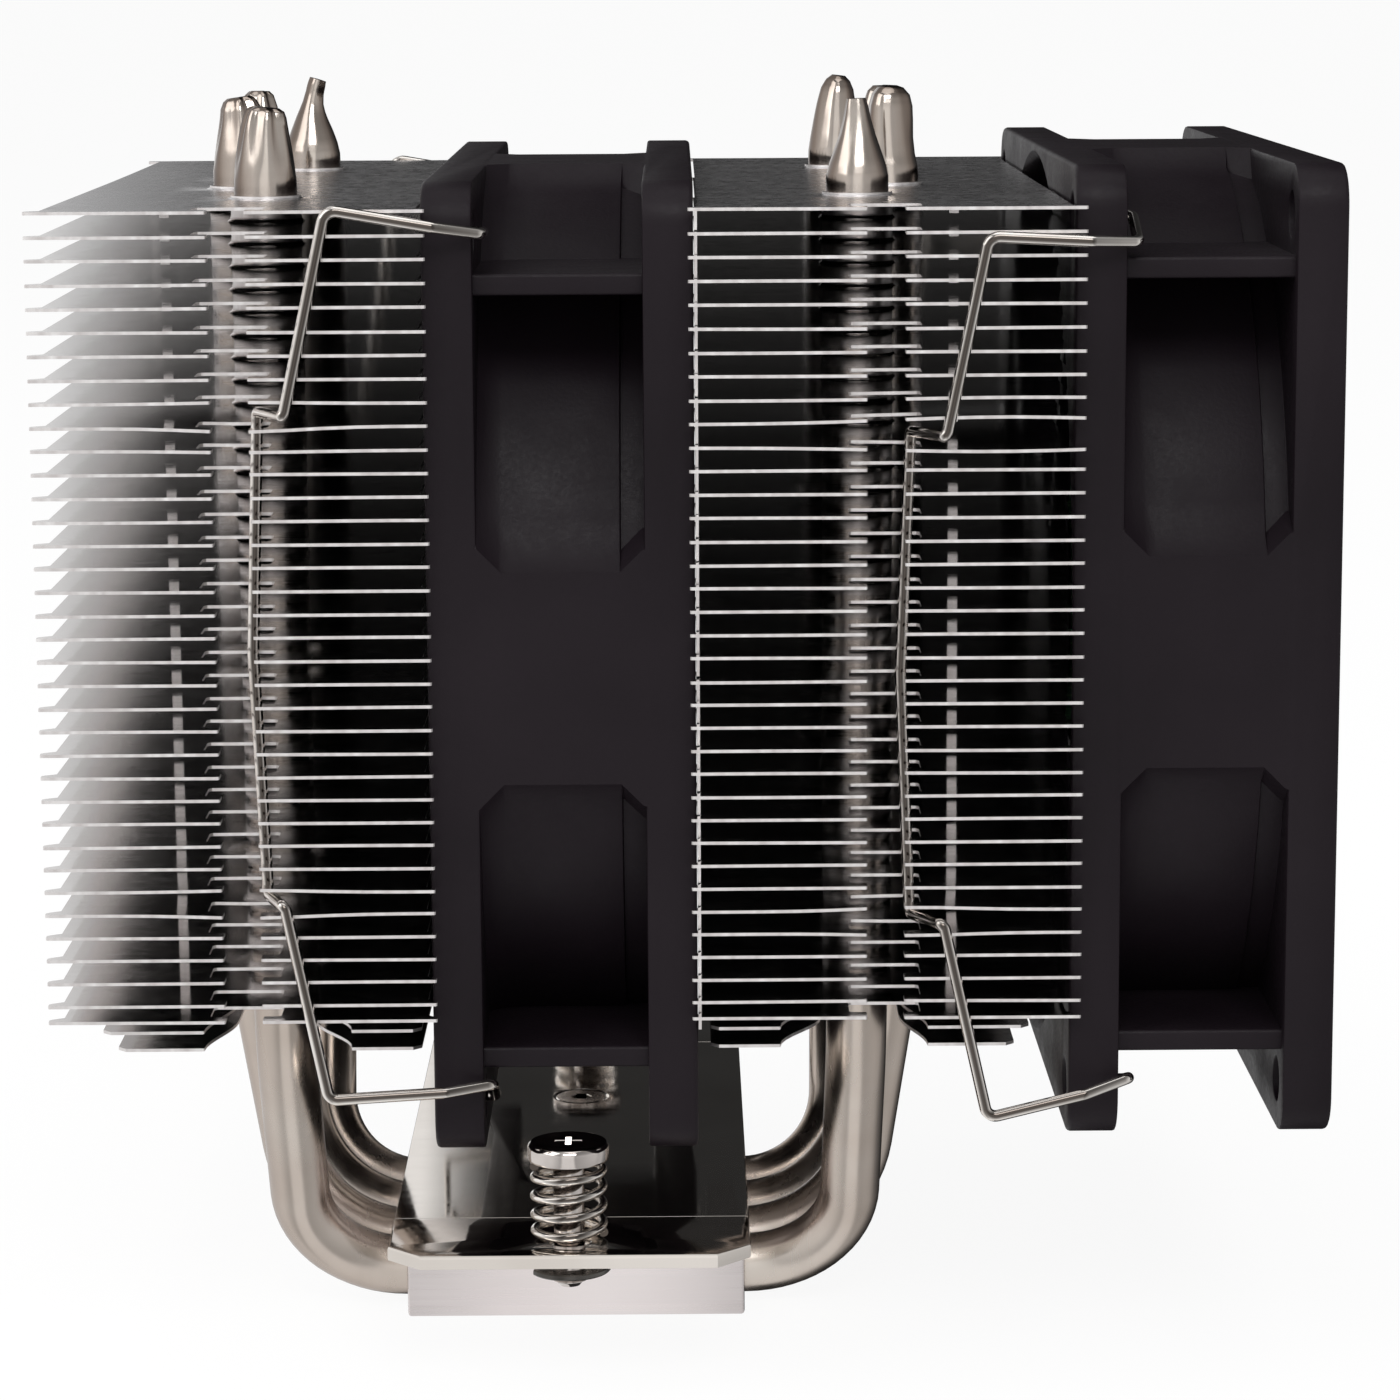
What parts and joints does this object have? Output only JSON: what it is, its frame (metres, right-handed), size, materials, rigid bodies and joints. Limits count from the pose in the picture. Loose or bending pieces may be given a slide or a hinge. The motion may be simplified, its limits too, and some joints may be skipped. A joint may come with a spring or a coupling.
{
  "type": "cpu tower cooler",
  "caption": "Air cooler for a processor: nickel-plated base, U-shaped heat pipes through twin aluminium fin towers, clip-on axial fans and a plate with spring screws.",
  "frame": {"origin": "centre of the base's contact face", "axes": "+Z away from the processor, along the heat pipes' legs; X across the two towers, with the outer fan at +X; Y along the fins, with the pictured side at -Y"},
  "size_m": [0.1211, 0.0988, 0.1243],
  "materials": {
    "nickel_plate": "bright nickel plating, faint brushing",
    "nickel_satin": "satin nickel plating on copper tube, warm tint",
    "nickel_block": "fine milled nickel plating",
    "aluminium_fin": "rolled aluminium sheet, bright sheared edges",
    "bright_steel": "drawn spring wire, nickel finish",
    "dark_steel": "polished dark nickel",
    "black_plastic": "moulded plastic, fine satin texture",
    "rotor_plastic": "moulded plastic, smooth satin",
    "stator_steel": "stacked electrical steel",
    "winding_copper": "enamelled copper wire",
    "ferrite": "bonded ferrite",
    "sintered_bronze": "oil-filled sintered bronze",
    "circuit_board": "green solder mask"
  },
  "bodies": {
    "root": {"base_block": "nickel_block", "base_cover": "nickel_block", "mounting_plate": "nickel_plate", "plate_screw_front": "bright_steel", "plate_screw_rear": "bright_steel", "heat_pipe_1": "nickel_satin", "heat_pipe_2": "nickel_satin", "heat_pipe_3": "nickel_satin", "heat_pipe_4": "nickel_satin", "left_fin_stack": "aluminium_fin", "right_fin_stack": "aluminium_fin", "middle_fan_frame": "black_plastic", "middle_fan_bearing": "sintered_bronze", "middle_fan_stator_core": "stator_steel", "middle_fan_stator_winding": "winding_copper", "middle_fan_circuit_board": "circuit_board", "side_fan_frame": "black_plastic", "side_fan_bearing": "sintered_bronze", "side_fan_stator_core": "stator_steel", "side_fan_stator_winding": "winding_copper", "side_fan_circuit_board": "circuit_board"},
    "middle_rotor": {"middle_fan_impeller": "rotor_plastic", "middle_fan_rotor_yoke": "stator_steel", "middle_fan_magnet_ring": "ferrite", "middle_fan_shaft": "bright_steel", "middle_fan_lock_ring": "bright_steel"},
    "middle_clip_front_body": {"middle_clip_front": "bright_steel"},
    "middle_clip_rear_body": {"middle_clip_rear": "bright_steel"},
    "side_rotor": {"side_fan_impeller": "rotor_plastic", "side_fan_rotor_yoke": "stator_steel", "side_fan_magnet_ring": "ferrite", "side_fan_shaft": "bright_steel", "side_fan_lock_ring": "bright_steel"},
    "side_clip_front_body": {"side_clip_front": "bright_steel"},
    "side_clip_rear_body": {"side_clip_rear": "bright_steel"},
    "front_screw_carrier": {"screw_spring_front": "bright_steel", "retaining_clip_front": "dark_steel"},
    "front_screw": {"spring_screw_front": "dark_steel"},
    "rear_screw_carrier": {"screw_spring_rear": "bright_steel", "retaining_clip_rear": "dark_steel"},
    "rear_screw": {"spring_screw_rear": "dark_steel"}
  },
  "joints": [
    {"name": "middle_rotor_spin", "type": "hinge", "parent": "root", "child": "middle_rotor", "pos_m": [0, 0, 0.0705], "axis": [1, 0, 0], "continuous": true},
    {"name": "side_rotor_spin", "type": "hinge", "parent": "root", "child": "side_rotor", "pos_m": [0.0601, 0, 0.0717], "axis": [1, 0, 0], "continuous": true},
    {"name": "front_screw_press", "type": "slide", "parent": "root", "child": "front_screw_carrier", "axis": [0, 0, 1], "range_m": [-0.003, 0], "stiffness_N_per_m": 300, "springref_m": 0.0003, "deforming": ["screw_spring_front"]},
    {"name": "front_screw_turn", "type": "hinge", "parent": "front_screw_carrier", "child": "front_screw", "pos_m": [0, -0.0415, 0.0149], "axis": [0, 0, 1], "continuous": true},
    {"name": "rear_screw_press", "type": "slide", "parent": "root", "child": "rear_screw_carrier", "axis": [0, 0, 1], "range_m": [-0.003, 0], "stiffness_N_per_m": 300, "springref_m": 0.0003, "deforming": ["screw_spring_rear"]},
    {"name": "rear_screw_turn", "type": "hinge", "parent": "rear_screw_carrier", "child": "rear_screw", "pos_m": [0, 0.0415, 0.0149], "axis": [0, 0, 1], "continuous": true},
    {"name": "middle_clip_front_swing", "type": "hinge", "parent": "root", "child": "middle_clip_front_body", "pos_m": [-0.0069, -0.04125, 0.07], "axis": [0, 0, 1], "range_deg": [0, 25]},
    {"name": "middle_clip_rear_swing", "type": "hinge", "parent": "root", "child": "middle_clip_rear_body", "pos_m": [-0.0069, 0.04125, 0.07], "axis": [0, 0, -1], "range_deg": [0, 25]},
    {"name": "side_clip_front_swing", "type": "hinge", "parent": "root", "child": "side_clip_front_body", "pos_m": [0.0532, -0.04125, 0.07], "axis": [0, 0, 1], "range_deg": [0, 25]},
    {"name": "side_clip_rear_swing", "type": "hinge", "parent": "root", "child": "side_clip_rear_body", "pos_m": [0.0532, 0.04125, 0.07], "axis": [0, 0, -1], "range_deg": [0, 25]}
  ]
}
